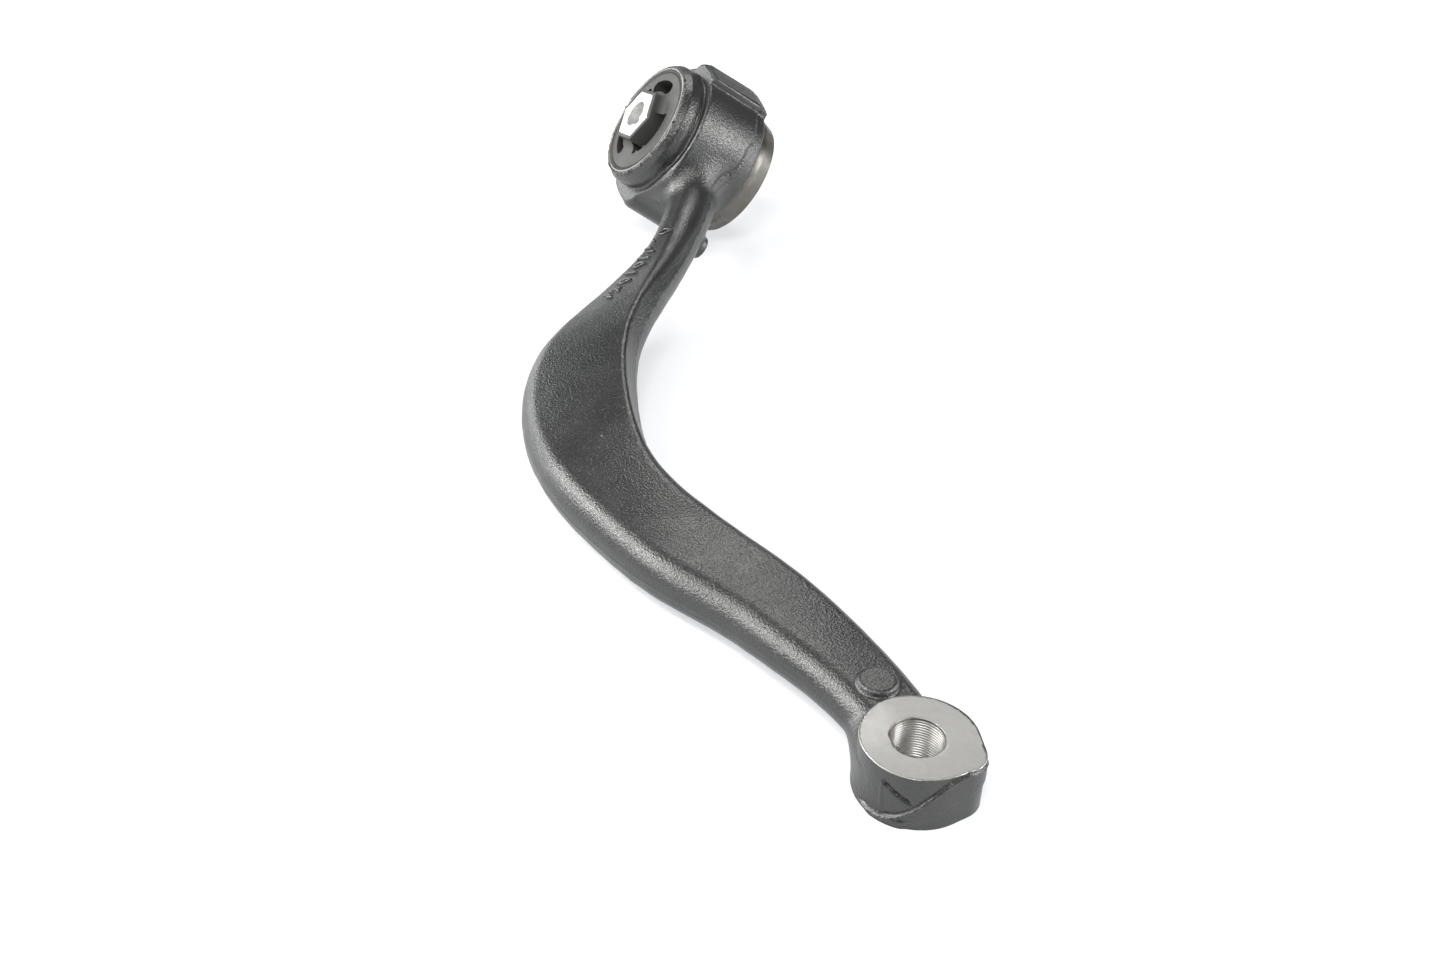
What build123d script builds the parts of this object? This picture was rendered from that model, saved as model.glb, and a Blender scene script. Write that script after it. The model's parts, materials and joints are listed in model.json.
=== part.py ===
from build123d import *
import os
from collections import namedtuple
from math import cos, radians, sin, tan

os.makedirs("parts", exist_ok=True)

# Forged control arm: a plain stud eye at one end, a pressed-in hydraulic bush at the other.
# Millimetres. Origin: middle of the stud bore. +Z: along the stud bore, up.
# +Y: towards the bush in plan. The part rests on the plane z = -EYE_HEIGHT / 2.

# ---------------------------------------------------------------- stud eye
EYE_HEIGHT = 24.0
EYE_TOP_R = 24.1           # the eye is egg-shaped: a circle with a heavy corner
EYE_TOP_AT = (0.8, 0.0)
EYE_TOP_CORNER_R = 11.5
EYE_TOP_CORNER_AT = (12.9, -10.6)
EYE_FOOT_R = 25.4
EYE_FOOT_AT = (0.4, -1.2)
EYE_FOOT_CORNER_R = 13.0
EYE_FOOT_CORNER_AT = (12.0, -10.0)
STUD_BORE_R = 10.5
BORE_CHAMFER = 0.7

# ---------------------------------------------------------------- bush seat
BUSH_CENTRE = (0.0, 460.5, 35.0)
BUSH_TILT = 54.3           # degrees between the stud axis and the bush axis
SEAT_R = 33.0              # press-fit bore in the forging
BARREL_R = 42.0            # at the parting step, less the forging draft either way
BARREL_DRAFT = 3.0         # degrees
PARTING_STEP = 0.7
PARTING_AT = -11.0
BARREL_HALF = 20.0
COLLAR_ROOT_R = 36.0
COLLAR_BULGE_R = 36.8
COLLAR_TIP_R = 33.9
COLLAR_END = 32.8
TOP_LOBE_REACH = 45.2      # lobes on opposite sides of the barrel
TOP_LOBE_WIDTH = 29.4
TOP_LOBE_SHIFT = -5.1
TOP_LOBE_CORNER = 6.0
LOW_LOBE_REACH = 43.8
LOW_LOBE_WIDTH = 40.4
LOW_LOBE_SHIFT = 3.8
LOW_LOBE_CORNER = 9.0
LOBE_LIMIT_R = 46.8
LOBE_TAPER_R = 43.2        # radius at the barrel's lower end, clear of the floor

# ---------------------------------------------------------------- outer sleeve
SLEEVE_HALF = 33.0
SLEEVE_WALL = 1.5
STOP_R = 36.0              # bare stop collar that seats against the barrel
STOP_TIP_R = 34.0
STOP_AT = -20.0

# ---------------------------------------------------------------- inner core
CORE_FLATS = 26.0
CORE_HALF = 40.0
CORE_TURN = -9.0           # degrees about the bush axis, as pressed in
BOLT_BORE_R = 7.25
KEYWAY_WIDTH = 4.0
KEYWAY_REACH = 9.3

# ---------------------------------------------------------------- rubber spring
FACE_HALF = 32.6
JACKET = 1.6               # rubber skin on the core's flats
JACKET_HALF = 39.2
POCKET_FLOOR = 18.0        # end pockets stop here, above the sealed chambers
WINDOW_POCKET_R = 21.4

# ---------------------------------------------------------------- cage, tracks, fluid
CAGE_WALL = 1.6
CAGE_HALF = 30.0
WINDOW_HALF = 16.0
POST_ANGLE = 44.0          # degrees, each cage post
TRACK_WALL = 5.0
TRACK_GROOVE_WIDTH = 6.0
TRACK_GROOVE_DEPTH = 3.0
PORT_R = 1.6
CHAMBER_HALF = 13.0
CHAMBER_INNER_R = 18.5
CHAMBER_ANGLE = 92.0

# ---------------------------------------------------------------- arm
# Sections from the barrel to the stud eye. Twist 0 lies flat, and grows to the bush tilt.
CORNER_R = 8.0
Section = namedtuple("Section", "x y z width thick twist")
ARM = [
    Section(-5.0, 427.5, 27.0, 27.4, 23.1, 29.3),
    Section(-8.5, 416.5, 26.0, 27.4, 23.1, 29.3),
    Section(-31.2, 365.0, 21.0, 27.1, 20.3, 30.0),
    Section(-58.5, 327.0, 16.3, 43.8, 20.3, 32.9),
    Section(-84.6, 289.0, 11.8, 54.3, 22.0, 23.4),
    Section(-96.2, 241.0, 8.0, 56.9, 23.2, 20.0),
    Section(-92.9, 193.5, 5.8, 50.4, 24.8, 12.7),
    Section(-78.5, 158.0, 4.0, 47.5, 24.6, 10.7),
    Section(-61.5, 131.0, 2.6, 49.6, 23.0, 2.2),
    Section(-42.5, 105.5, 1.8, 46.5, 22.0, 0.0),
    Section(-27.0, 79.0, 1.3, 44.0, 21.0, -4.0),
    Section(-14.0, 52.0, 1.0, 39.0, 20.5, -6.0),
    Section(-4.5, 24.0, 0.8, 35.0, 20.0, -3.0),
    Section(-0.5, 4.0, 0.5, 33.0, 20.0, 0.0),
]
TOP_PAD = (-7.0, 33.7)     # witness pad beside the eye
TOP_PAD_R = 8.6
TOP_PAD_TOP = 13.6
NECK_PAD_R = 6.5           # round pad under the neck
NECK_PAD_REACH = 17.0
NECK_PAD_AT = (-21.9, 386.5, 23.2)

# ---------------------------------------------------------------- helpers
BUSH_AXIS = Vector(-sin(radians(BUSH_TILT)), 0, cos(radians(BUSH_TILT)))
# Bush frame: local Z is the bush axis, local X points back along the arm.
BUSH = Plane(origin=BUSH_CENTRE, x_dir=(0, -1, 0), z_dir=BUSH_AXIS)


def in_bush(shape):
    return BUSH.location * shape


def tube(outer_r, inner_r, low, high):
    ring = Circle(outer_r) - Circle(inner_r)
    return Pos(0, 0, low) * extrude(ring, high - low)


def turned(points):
    """Solid of revolution from (radius, height) points."""
    profile = make_face(Polyline([(r, 0, h) for r, h in points], close=True))
    return revolve(profile, Axis.Z)


def wedge(middle, angle, reach):
    """Pie slice, in degrees about the local Z axis."""
    spread = [middle - angle / 2, middle, middle + angle / 2]
    rim = [(reach * cos(radians(a)), reach * sin(radians(a))) for a in spread]
    return make_face(Polyline([(0, 0)] + rim, close=True))


def arc_band(outer_r, inner_r, middle, angle, half):
    band = (Circle(outer_r) - Circle(inner_r)) & wedge(middle, angle, 3 * outer_r)
    return Pos(0, 0, -half) * extrude(band, 2 * half)


def hexagon(flats):
    """The core's outline. Before its turn, corners point along local Y."""
    return RegularPolygon(flats / 2, 6, major_radius=False, rotation=30 + CORE_TURN)


def egg(body_r, body_at, corner_r, corner_at):
    body = Pos(*body_at) * Circle(body_r)
    corner = Pos(*corner_at) * Circle(corner_r)
    return make_hull(body.edges() + corner.edges())


def section_frame(before, here, after):
    centre = Vector(here.x, here.y, here.z)
    along = (Vector(before.x, before.y, before.z) - Vector(after.x, after.y, after.z)).normalized()
    up = (Vector(0, 0, 1) - along * along.Z).normalized()
    side = along.cross(up)
    turn = radians(here.twist)
    across = side * cos(turn) + up * sin(turn)
    return Plane(origin=centre, x_dir=across, z_dir=along)


# ---------------------------------------------------------------- arm forging
sections = []
for i, here in enumerate(ARM):
    before = ARM[max(i - 1, 0)]
    after = ARM[min(i + 1, len(ARM) - 1)]
    frame = section_frame(before, here, after)
    sections.append(frame * RectangleRounded(here.width, here.thick, CORNER_R))
bar = loft(sections)

eye_top = egg(EYE_TOP_R, EYE_TOP_AT, EYE_TOP_CORNER_R, EYE_TOP_CORNER_AT)
eye_foot = egg(EYE_FOOT_R, EYE_FOOT_AT, EYE_FOOT_CORNER_R, EYE_FOOT_CORNER_AT)
eye = loft([Pos(0, 0, -EYE_HEIGHT / 2) * eye_foot, Pos(0, 0, EYE_HEIGHT / 2) * eye_top])
eye_cut = Cylinder(STUD_BORE_R, 2 * EYE_HEIGHT)
for side in (1, -1):
    mouth = Cone(STUD_BORE_R, STUD_BORE_R + BORE_CHAMFER, BORE_CHAMFER)
    eye_cut += Pos(0, 0, side * (EYE_HEIGHT - BORE_CHAMFER) / 2) * Rot(90 - 90 * side, 0, 0) * mouth

draft = tan(radians(BARREL_DRAFT))
top_end_r = BARREL_R - draft * (BARREL_HALF - PARTING_AT)
low_end_r = BARREL_R - PARTING_STEP - draft * (BARREL_HALF + PARTING_AT)
barrel = turned([
    (20, -BARREL_HALF),
    (low_end_r - 1.5, -BARREL_HALF),
    (low_end_r, -BARREL_HALF + 1.5),
    (BARREL_R - PARTING_STEP, PARTING_AT),
    (BARREL_R, PARTING_AT),
    (top_end_r, BARREL_HALF - 1.5),
    (top_end_r - 1.5, BARREL_HALF),
    (COLLAR_ROOT_R, BARREL_HALF + 0.6),
    (COLLAR_BULGE_R, BARREL_HALF + 5),
    (COLLAR_BULGE_R - 0.5, BARREL_HALF + 9),
    (COLLAR_TIP_R, COLLAR_END),
    (20, COLLAR_END),
])
top_lobe = Pos(TOP_LOBE_SHIFT, TOP_LOBE_REACH / 2) * RectangleRounded(
    TOP_LOBE_WIDTH, TOP_LOBE_REACH, TOP_LOBE_CORNER
)
low_lobe = Pos(LOW_LOBE_SHIFT, -LOW_LOBE_REACH / 2) * RectangleRounded(
    LOW_LOBE_WIDTH, LOW_LOBE_REACH, LOW_LOBE_CORNER
)
lobe_block = Pos(0, 0, -BARREL_HALF) * extrude(Sketch() + [top_lobe, low_lobe], 2 * BARREL_HALF)
lobe_block &= turned([
    (0, -BARREL_HALF),
    (LOBE_TAPER_R, -BARREL_HALF),
    (LOBE_LIMIT_R, PARTING_AT),
    (LOBE_LIMIT_R, BARREL_HALF - 1.0),
    (LOBE_LIMIT_R - 1.0, BARREL_HALF),
    (0, BARREL_HALF),
])
barrel += lobe_block

pad_foot = Pos(*TOP_PAD, 4)
top_pad = pad_foot * extrude(Circle(TOP_PAD_R), TOP_PAD_TOP - 4)
neck_along = BUSH_AXIS * -1
neck_pad = Plane(origin=NECK_PAD_AT, z_dir=neck_along) * extrude(Circle(NECK_PAD_R), NECK_PAD_REACH)

arm = bar + eye + in_bush(barrel) + top_pad + neck_pad
arm -= in_bush(Cylinder(SEAT_R, 120))
arm -= eye_cut

# ---------------------------------------------------------------- outer sleeve
sleeve = turned([
    (SEAT_R - SLEEVE_WALL, -SLEEVE_HALF),
    (STOP_TIP_R, -SLEEVE_HALF),
    (STOP_R, -SLEEVE_HALF + 7),
    (STOP_R, STOP_AT - 1.5),
    (STOP_R - 1.0, STOP_AT),
    (SEAT_R, STOP_AT),
    (SEAT_R, SLEEVE_HALF),
    (SEAT_R - SLEEVE_WALL, SLEEVE_HALF),
])

# ---------------------------------------------------------------- inner core
core_prism = extrude(hexagon(CORE_FLATS), CORE_HALF, both=True)
core = chamfer(core_prism.edges().filter_by(GeomType.LINE).group_by(Axis.Z)[-1], 0.6)
core = chamfer(core.edges().group_by(Axis.Z)[0], 0.6)
core -= Cylinder(BOLT_BORE_R, 3 * CORE_HALF)
core -= Rot(0, 0, CORE_TURN) * Pos(KEYWAY_REACH / 2, 0, 0) * Box(KEYWAY_REACH, KEYWAY_WIDTH, 3 * CORE_HALF)

# ---------------------------------------------------------------- window cage
inside_r = SEAT_R - SLEEVE_WALL
cage = tube(inside_r, inside_r - CAGE_WALL, WINDOW_HALF, CAGE_HALF)
cage += tube(inside_r, inside_r - CAGE_WALL, -CAGE_HALF, -WINDOW_HALF)
cage += arc_band(inside_r, inside_r - CAGE_WALL, 90, POST_ANGLE, WINDOW_HALF)
cage += arc_band(inside_r, inside_r - CAGE_WALL, 270, POST_ANGLE, WINDOW_HALF)

# ---------------------------------------------------------------- inertia-track half shells
track_angle = 180 - POST_ANGLE


def track_shell(middle, port_at):
    shell = arc_band(inside_r, inside_r - TRACK_WALL, middle, track_angle, WINDOW_HALF)
    groove_floor = inside_r - TRACK_GROOVE_DEPTH
    shell -= arc_band(inside_r + 1, groove_floor, middle, track_angle - 8, TRACK_GROOVE_WIDTH / 2)
    drill = Pos(inside_r, 0, 0) * Rot(0, 90, 0) * Cylinder(PORT_R, 4 * TRACK_WALL)
    return shell - Rot(0, 0, port_at) * drill


track_near = track_shell(0, 38)
track_far = track_shell(180, 180 + 38)

# ---------------------------------------------------------------- damping fluid
chamber_outer = inside_r - TRACK_WALL
fluid_near = arc_band(chamber_outer, CHAMBER_INNER_R, 0, CHAMBER_ANGLE, CHAMBER_HALF)
fluid_far = arc_band(chamber_outer, CHAMBER_INNER_R, 180, CHAMBER_ANGLE, CHAMBER_HALF)

# ---------------------------------------------------------------- rubber spring
jacket = hexagon(CORE_FLATS + 2 * JACKET)
rubber = Cylinder(inside_r, 2 * FACE_HALF)
rubber += extrude(jacket, JACKET_HALF, both=True)
rubber -= core_prism
big_pocket = (Circle(WINDOW_POCKET_R) & wedge(-6, 94, 60)) - jacket
back_pocket = SlotArc(CenterArc((0, 0), 21.8, 156, 48), 4.6)
upper_pocket = SlotArc(CenterArc((0, 0), 21.4, 95.5, 40), 7.2)
lower_pocket = SlotArc(CenterArc((0, 0), 23.0, 237, 26), 5.8)
pockets = Sketch() + [big_pocket, back_pocket, upper_pocket, lower_pocket]
pocket_depth = FACE_HALF - POCKET_FLOOR + 1
rubber -= Pos(0, 0, POCKET_FLOOR) * extrude(pockets, pocket_depth)
rubber -= Pos(0, 0, -POCKET_FLOOR) * extrude(pockets, -pocket_depth)
rubber -= cage
rubber -= arc_band(inside_r + 1, chamber_outer, 0, track_angle, WINDOW_HALF)
rubber -= arc_band(inside_r + 1, chamber_outer, 180, track_angle, WINDOW_HALF)
rubber -= fluid_near
rubber -= fluid_far

nodes = {
    "arm_forging": arm,
    "bush_outer_sleeve": in_bush(sleeve),
    "bush_window_cage": in_bush(cage),
    "bush_rubber_spring": in_bush(rubber),
    "bush_inner_core": in_bush(core),
    "track_shell_near": in_bush(track_near),
    "track_shell_far": in_bush(track_far),
    "damping_fluid_near": in_bush(fluid_near),
    "damping_fluid_far": in_bush(fluid_far),
}
for name, shape in nodes.items():
    solids = shape.solids()
    assert len(solids) == 1, (name, len(solids))
    assert solids[0].is_valid, name
    export_step(solids[0], f"parts/{name}.step")
    print(name, round(solids[0].volume), solids[0].bounding_box())
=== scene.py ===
import json

import bpy
import numpy as np
from mathutils import Matrix, Vector


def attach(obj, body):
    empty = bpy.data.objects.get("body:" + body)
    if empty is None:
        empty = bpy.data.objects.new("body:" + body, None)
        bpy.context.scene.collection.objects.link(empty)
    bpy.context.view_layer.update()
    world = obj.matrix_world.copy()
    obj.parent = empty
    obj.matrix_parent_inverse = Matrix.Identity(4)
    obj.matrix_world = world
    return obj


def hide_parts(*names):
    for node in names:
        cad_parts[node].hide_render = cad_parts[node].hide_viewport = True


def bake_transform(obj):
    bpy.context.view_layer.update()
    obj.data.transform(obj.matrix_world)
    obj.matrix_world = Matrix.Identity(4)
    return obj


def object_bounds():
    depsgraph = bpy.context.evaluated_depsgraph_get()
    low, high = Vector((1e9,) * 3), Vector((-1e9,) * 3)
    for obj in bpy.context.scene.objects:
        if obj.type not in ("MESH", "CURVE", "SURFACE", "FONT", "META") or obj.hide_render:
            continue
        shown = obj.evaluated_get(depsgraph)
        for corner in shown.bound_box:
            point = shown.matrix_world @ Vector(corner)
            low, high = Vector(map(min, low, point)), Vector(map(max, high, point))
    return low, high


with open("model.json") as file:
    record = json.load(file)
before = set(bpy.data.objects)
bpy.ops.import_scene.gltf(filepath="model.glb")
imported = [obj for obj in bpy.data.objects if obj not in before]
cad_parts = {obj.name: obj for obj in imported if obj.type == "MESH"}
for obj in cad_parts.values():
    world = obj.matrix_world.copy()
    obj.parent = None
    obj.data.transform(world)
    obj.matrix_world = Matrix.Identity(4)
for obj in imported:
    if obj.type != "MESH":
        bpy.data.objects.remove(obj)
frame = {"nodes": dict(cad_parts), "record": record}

cad_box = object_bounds()
mounts = {m["name"]: m for m in frame["record"]["mounts"]}
MM = 0.001

# Shapes are worked out in millimetres in the part's own frame, and scaled to metres at the end.

# ---------------------------------------------------------------- dimensions, as the CAD has them
EYE_HALF = 12.0
EYE_TOP = ((0.8, 0.0), 24.1, (12.9, -10.6), 11.5)    # body centre, radius, corner centre, radius
EYE_FOOT = ((0.4, -1.2), 25.4, (12.0, -10.0), 13.0)
STUD_R = mounts["stud_bore"]["dims"]["r_mm"]
BORE_CHAMFER = 0.7

BUSH_CENTRE = np.array(mounts["bolt_bore"]["pos_m"]) / MM
BUSH_AXIS = np.array(mounts["bolt_bore"]["axis"])
BUSH_BACK = np.array([0.0, -1.0, 0.0])               # towards the arm
BUSH_UP = np.cross(BUSH_AXIS, BUSH_BACK)

SEAT_R = 33.0
BARREL_R = 42.0
BARREL_DRAFT = np.tan(np.radians(3))
PARTING_AT, PARTING_STEP = -11.0, 0.7
BARREL_HALF = 20.0
COLLAR = ((30, 18), (35.2, 18), (35.3, 21.2), (36.1, 25), (35.6, 28.8), (33.4, 32.1), (30, 32.1))
COLLAR_ROUND = 0.7
PARTING_GROOVE = 0.45
LOBE_LIMIT_R, LOBE_TAPER_R = 46.8, 43.2
LOBE_EDGE = 1.5
TOP_LOBE = (-5.1, 45.2, 29.4, (2.4, 10.0))           # shift, reach, width, near and far corners
LOW_LOBE = (3.8, -43.8, 40.4, (9.0, 11.0))
TOP_LOBE_FOOT, LOW_LOBE_FOOT = 0.5, 2.5              # fillets where the lobes leave the barrel

CORE_FLATS = 26.0
CORE_HALF = 40.0
CORE_TURN = -9.0                                     # degrees about the bush axis
BOLT_R = mounts["bolt_bore"]["dims"]["r_mm"]
KEYWAY_HALF, KEYWAY_REACH = 2.0, 9.3
JACKET_FLATS = 29.2
JACKET_HALF = 39.2
SLEEVE_R = 31.5
RUBBER_HALF = 32.6
JACKET_FILLET = 4.5
POCKET_R, POCKET_FLOOR = 21.4, 18.0
POCKET_MIDDLE, POCKET_HALF = -6, 47                  # degrees about the bush axis
# Narrow pockets beside the big one: radius, middle and spread in degrees, width.
POCKET_SLOTS = [(21.8, 180, 48, 4.6), (21.4, 115.5, 40, 7.2), (23.0, 250, 26, 5.8)]
FLASH_TABS, FLASH_TAB_AT, FLASH_TAB_R = (-22, -41), 21.3, 1.0

# Arm sections from the barrel to the eye: x, y, z, width, thickness, twist in degrees.
ARM = np.array([
    (-5.0, 427.5, 27.0, 27.4, 23.1, 29.3),
    (-8.5, 416.5, 26.0, 27.4, 23.1, 29.3),
    (-31.2, 365.0, 21.0, 27.1, 20.3, 30.0),
    (-58.5, 327.0, 16.3, 43.8, 20.3, 32.9),
    (-84.6, 289.0, 11.8, 54.3, 22.0, 23.4),
    (-96.2, 241.0, 8.0, 56.9, 23.2, 20.0),
    (-92.9, 193.5, 5.8, 50.4, 24.8, 12.7),
    (-78.5, 158.0, 4.0, 47.5, 24.6, 10.7),
    (-61.5, 131.0, 2.6, 49.6, 23.0, 2.2),
    (-42.5, 105.5, 1.8, 46.5, 22.0, 0.0),
    (-27.0, 79.0, 1.3, 44.0, 21.0, -4.0),
    (-14.0, 52.0, 1.0, 39.0, 20.5, -6.0),
    (-4.5, 24.0, 0.8, 35.0, 20.0, -3.0),
    (-0.5, 4.0, 0.5, 33.0, 20.0, 0.0),
])
TOP_PAD, TOP_PAD_R, TOP_PAD_TOP = (-7.0, 33.7), 8.6, 13.6
NECK_PAD, NECK_PAD_R, NECK_PAD_REACH = np.array([-21.9, 386.5, 23.2]), 6.5, 17.0
NICK, NICK_SIZE, NICK_DEPTH = np.array([-52.5, 154.0, 12.0]), (2.6, 1.3, 1.6), 0.5
SKIN_DEPTH, SKIN_SIZE, SKIN_SEED = 0.07, 15, 3       # the forged surface's slow waves


# ---------------------------------------------------------------- distance fields
def round_union(a, b, r):
    """Union of two fields with a concave fillet of radius r."""
    return np.maximum(r, np.minimum(a, b)) - np.hypot(np.maximum(r - a, 0), np.maximum(r - b, 0))


def round_common(a, b, r):
    """What two fields share, its edge rounded to radius r."""
    return np.minimum(-r, np.maximum(a, b)) + np.hypot(np.maximum(r + a, 0), np.maximum(r + b, 0))


def box2(x, y, half_x, half_y, r):
    qx, qy = np.abs(x) - (half_x - r), np.abs(y) - (half_y - r)
    return np.hypot(np.maximum(qx, 0), np.maximum(qy, 0)) + np.minimum(np.maximum(qx, qy), 0) - r


def egg2(x, y, centre, r, corner, corner_r):
    """Hull of two circles."""
    ax, ay = corner[0] - centre[0], corner[1] - centre[1]
    h = np.hypot(ax, ay)
    along = ((x - centre[0]) * ax + (y - centre[1]) * ay) / h
    across = np.abs((x - centre[0]) * ay - (y - centre[1]) * ax) / h
    b = (r - corner_r) / h
    a = np.sqrt(1 - b * b)
    k = along * a - across * b
    side = across * a + along * b - r
    return np.where(k < 0, np.hypot(across, along) - r,
                    np.where(k > a * h, np.hypot(across, along - h) - corner_r, side))


def polygon2(x, y, points):
    """Exact distance to a closed polygon, negative inside."""
    best = np.full(x.shape, 1e9)
    inside = np.zeros(x.shape, bool)
    for (x0, y0), (x1, y1) in zip(points, points[1:] + points[:1]):
        ex, ey = x1 - x0, y1 - y0
        t = np.clip(((x - x0) * ex + (y - y0) * ey) / (ex * ex + ey * ey), 0, 1)
        best = np.minimum(best, (x - x0 - t * ex) ** 2 + (y - y0 - t * ey) ** 2)
        if ey:
            inside ^= ((y0 > y) != (y1 > y)) & (x < x0 + (y - y0) * ex / ey)
    return np.where(inside, -1, 1) * np.sqrt(best)


def step(x, low, high):
    """0 below low, 1 above high, smooth between."""
    t = np.clip((x - low) / (high - low), 0, 1)
    return t * t * (3 - 2 * t)


def bell(x, width):
    return np.exp(-(x / width) ** 2)


def ripple(p, size, seed):
    """Slow uneven waves, about -1 to 1, as on a hammered or moulded skin."""
    rng = np.random.default_rng(seed)
    total = np.zeros(len(p))
    for _ in range(10):
        direction = rng.normal(size=3)
        direction /= np.linalg.norm(direction)
        total += np.sin(p @ direction * (2 * np.pi / size) * rng.uniform(0.7, 1.4) + rng.uniform(0, 6.3))
    return total / 4.5


# ---------------------------------------------------------------- contouring
def grid_values(axes, field, block=8):
    """The field on a grid, worked out in full only in blocks near the surface."""
    low = [a[:-1:block] for a in axes]
    high = [a[block::block] for a in axes]
    mids = np.stack(np.meshgrid(*[(u + v) / 2 for u, v in zip(low, high)], indexing="ij"), -1)
    spans = np.meshgrid(*[v - u for u, v in zip(low, high)], indexing="ij")
    reach = np.sqrt(sum(s * s for s in spans)) / 2
    coarse = field(mids.reshape(-1, 3)).reshape(reach.shape)
    values = coarse.astype(np.float32)
    for k in range(3):
        values = np.repeat(values, block, axis=k)
    values = np.pad(values, ((0, 1),) * 3, mode="edge")
    near = np.argwhere(np.abs(coarse) < reach * 1.4 + 1)
    offsets = np.arange(block + 1)
    for start in range(0, len(near), 300):
        at = near[start:start + 300, :, None] * block + offsets
        n = len(at)
        full = (n, block + 1, block + 1, block + 1)
        x = np.broadcast_to(axes[0][at[:, 0]][:, :, None, None], full)
        y = np.broadcast_to(axes[1][at[:, 1]][:, None, :, None], full)
        z = np.broadcast_to(axes[2][at[:, 2]][:, None, None, :], full)
        found = field(np.stack([x, y, z], -1).reshape(-1, 3)).reshape(full)
        values[at[:, 0][:, :, None, None], at[:, 1][:, None, :, None], at[:, 2][:, None, None, :]] = found
    return values


def slopes(field, p, gap=0.04):
    out = np.empty_like(p)
    for k in range(3):
        d = np.zeros(3)
        d[k] = gap
        out[:, k] = field(p + d) - field(p - d)
    return out / np.maximum(np.linalg.norm(out, axis=1, keepdims=True), 1e-9)


def contour(axes, field, pull=0.03):
    """Dual contouring: points and quads of the field's zero surface, with its sharp edges kept."""
    axes = [np.append(a, a[-1] + np.arange(1, (-(len(a) - 1)) % 8 + 1) * (a[-1] - a[-2])) for a in axes]
    values = grid_values(axes, field)
    inside = values < 0
    cells, crossings = [], []
    for k in range(3):
        u, v = (k + 1) % 3, (k + 2) % 3
        low, high = [slice(None)] * 3, [slice(None)] * 3
        low[k], high[k] = slice(0, -1), slice(1, None)
        at = np.argwhere(inside[tuple(low)] != inside[tuple(high)])
        keep = (at[:, u] > 0) & (at[:, v] > 0) & (at[:, u] < len(axes[u]) - 1) & (at[:, v] < len(axes[v]) - 1)
        at = at[keep]
        ends = at.copy()
        ends[:, k] += 1
        p0 = np.stack([axes[j][at[:, j]] for j in range(3)], 1)
        p1 = np.stack([axes[j][ends[:, j]] for j in range(3)], 1)
        f0, f1 = values[tuple(at.T)].astype(float), values[tuple(ends.T)].astype(float)
        for _ in range(3):                            # regula falsi, with the bracket kept
            t = np.clip(f0 / (f0 - f1), 0.02, 0.98)[:, None]
            mid = p0 + (p1 - p0) * t
            fm = field(mid)
            same = (fm < 0) == (f0 < 0)
            p0, f0 = np.where(same[:, None], mid, p0), np.where(same, fm, f0)
            p1, f1 = np.where(same[:, None], p1, mid), np.where(same, f1, fm)
        t = (f0 / (f0 - f1))[:, None]
        crossings.append(p0 + (p1 - p0) * t)
        ring = np.repeat(at[:, None, :], 4, 1)
        ring[:, 0, u] -= 1
        ring[:, 0, v] -= 1
        ring[:, 1, v] -= 1
        ring[:, 3, u] -= 1
        turned = ~inside[tuple(at.T)]
        ring[turned] = ring[turned][:, ::-1]
        cells.append(ring)
    crossings, cells = np.concatenate(crossings), np.concatenate(cells)
    normals = slopes(field, crossings)
    shape = [len(a) for a in axes]
    ids, loops = np.unique(np.ravel_multi_index(cells.reshape(-1, 3).T, shape), return_inverse=True)
    loops = loops.reshape(-1)
    count = len(ids)

    def gather(w):
        return np.bincount(loops, weights=np.repeat(w, 4), minlength=count)

    hits = gather(np.ones(len(crossings)))
    middle = np.stack([gather(crossings[:, k]) for k in range(3)], 1) / hits[:, None]
    reach = (normals * crossings).sum(1)
    ata = np.empty((count, 3, 3))
    atb = np.empty((count, 3))
    for i in range(3):
        atb[:, i] = gather(normals[:, i] * reach)
        for j in range(3):
            ata[:, i, j] = gather(normals[:, i] * normals[:, j])
    rest = atb - np.einsum("nij,nj->ni", ata, middle)
    points = middle + np.linalg.solve(ata + pull * np.eye(3), rest[:, :, None])[:, :, 0]
    index = np.array(np.unravel_index(ids, shape)).T
    floor = np.stack([axes[k][index[:, k]] for k in range(3)], 1)
    ceiling = np.stack([axes[k][index[:, k] + 1] for k in range(3)], 1)
    return np.clip(points, floor, ceiling), loops.reshape(-1, 4)


def spaced(*runs):
    """Grid positions from (start, end, step) runs that follow each other."""
    parts = [np.linspace(a, b, max(2, round((b - a) / s) + 1))[:-1] for a, b, s in runs]
    return np.append(np.concatenate(parts), runs[-1][1])


# ---------------------------------------------------------------- meshes
def make_mesh(name, points, faces, sharp=38):
    """An object in metres from points in millimetres."""
    mesh = bpy.data.meshes.new(name)
    if isinstance(faces, np.ndarray):
        mesh.vertices.add(len(points))
        mesh.vertices.foreach_set("co", (points * MM).astype(np.float32).ravel())
        mesh.loops.add(faces.size)
        mesh.loops.foreach_set("vertex_index", faces.astype(np.int32).ravel())
        mesh.polygons.add(len(faces))
        mesh.polygons.foreach_set("loop_start", np.arange(0, faces.size, 4, dtype=np.int32))
        mesh.update(calc_edges=True)
        mesh.validate()
    else:
        mesh.from_pydata((np.asarray(points) * MM).tolist(), [], faces)
    mesh.polygons.foreach_set("use_smooth", np.ones(len(mesh.polygons), bool))
    mesh.update()
    mesh.set_sharp_from_angle(angle=np.radians(sharp))
    obj = bpy.data.objects.new(name, mesh)
    bpy.context.scene.collection.objects.link(obj)
    return obj


def from_bush(local):
    """Bush coordinates (back, up, along the axis) to the part's frame."""
    return BUSH_CENTRE + local @ np.stack([BUSH_BACK, BUSH_UP, BUSH_AXIS])


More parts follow.
